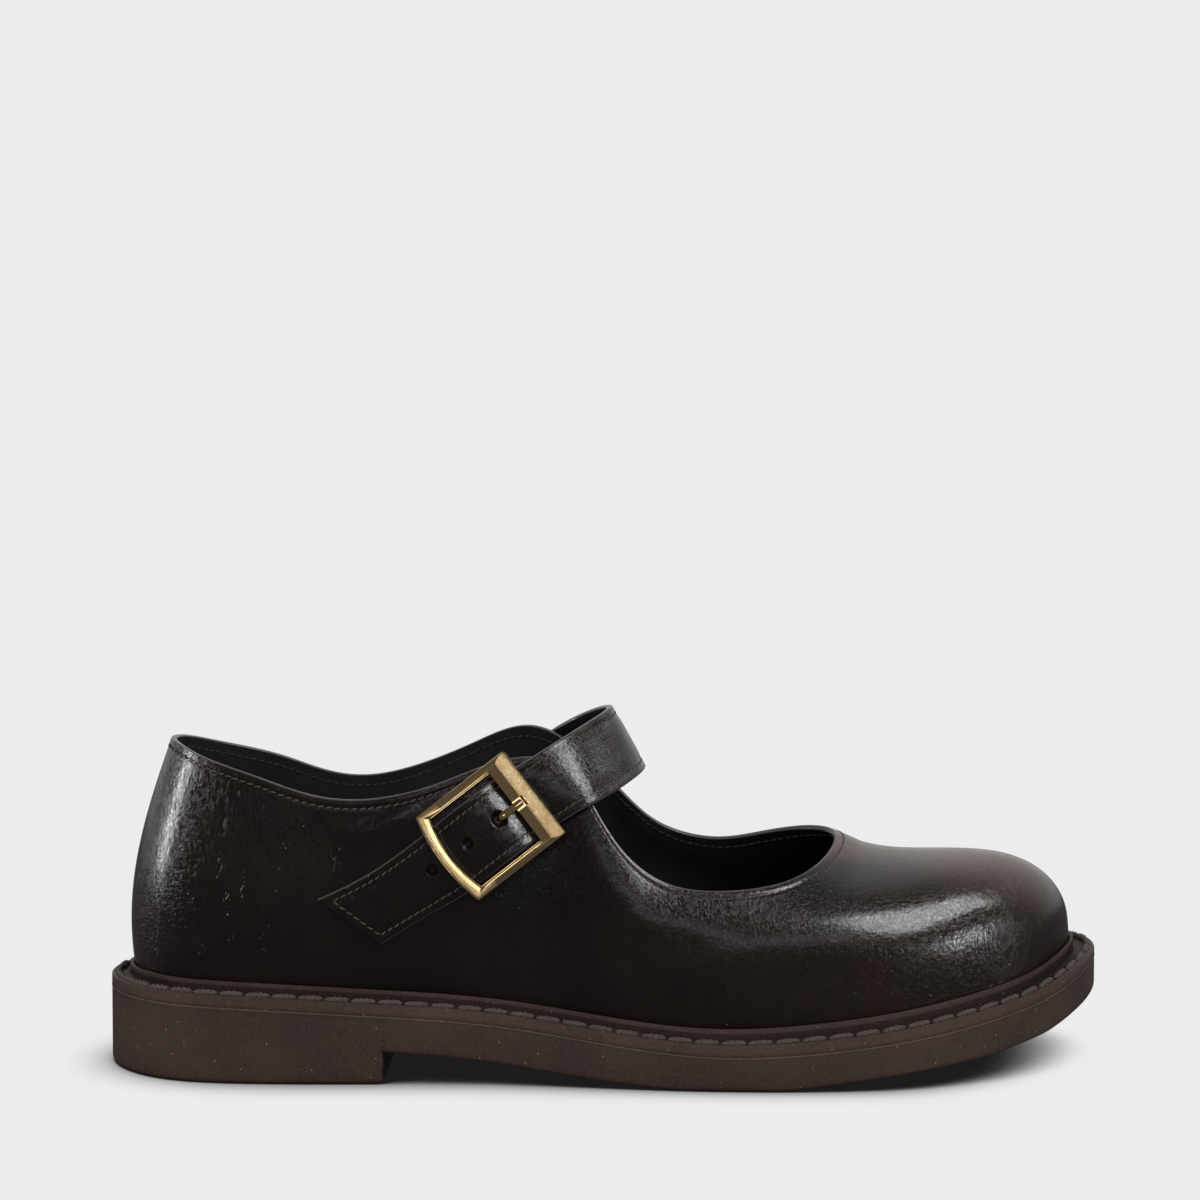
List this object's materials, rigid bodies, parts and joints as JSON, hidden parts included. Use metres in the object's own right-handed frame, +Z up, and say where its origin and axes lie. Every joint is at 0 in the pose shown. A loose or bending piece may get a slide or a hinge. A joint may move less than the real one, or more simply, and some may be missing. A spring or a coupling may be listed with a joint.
{
  "type": "strap shoe",
  "caption": "Low round-toed leather shoe for the right foot, with an open throat, an instep strap with a buckle on the outer side, and a moulded sole with a low heel.",
  "frame": {"origin": "middle of the sole's outline seen from above, on the plane the sole stands on", "axes": "+X from the heel to the toe, +Y to the inner side of the right foot, +Z up"},
  "size_m": [0.269, 0.0902, 0.0948],
  "materials": {
    "sole_rubber": "satin, fine grain",
    "welt_rubber": "satin",
    "lining": "matte",
    "upper_leather": "glossy, fine creases",
    "strap_leather": "glossy",
    "buckle_metal": "polished, brushed face"
  },
  "bodies": {
    "root": {"outsole": "sole_rubber", "welt": "welt_rubber", "insole": "lining", "upper": "upper_leather", "strap": "strap_leather", "buckle_frame": "buckle_metal", "buckle_prong": "buckle_metal", "buckle_loop": "strap_leather"}
  },
  "joints": []
}
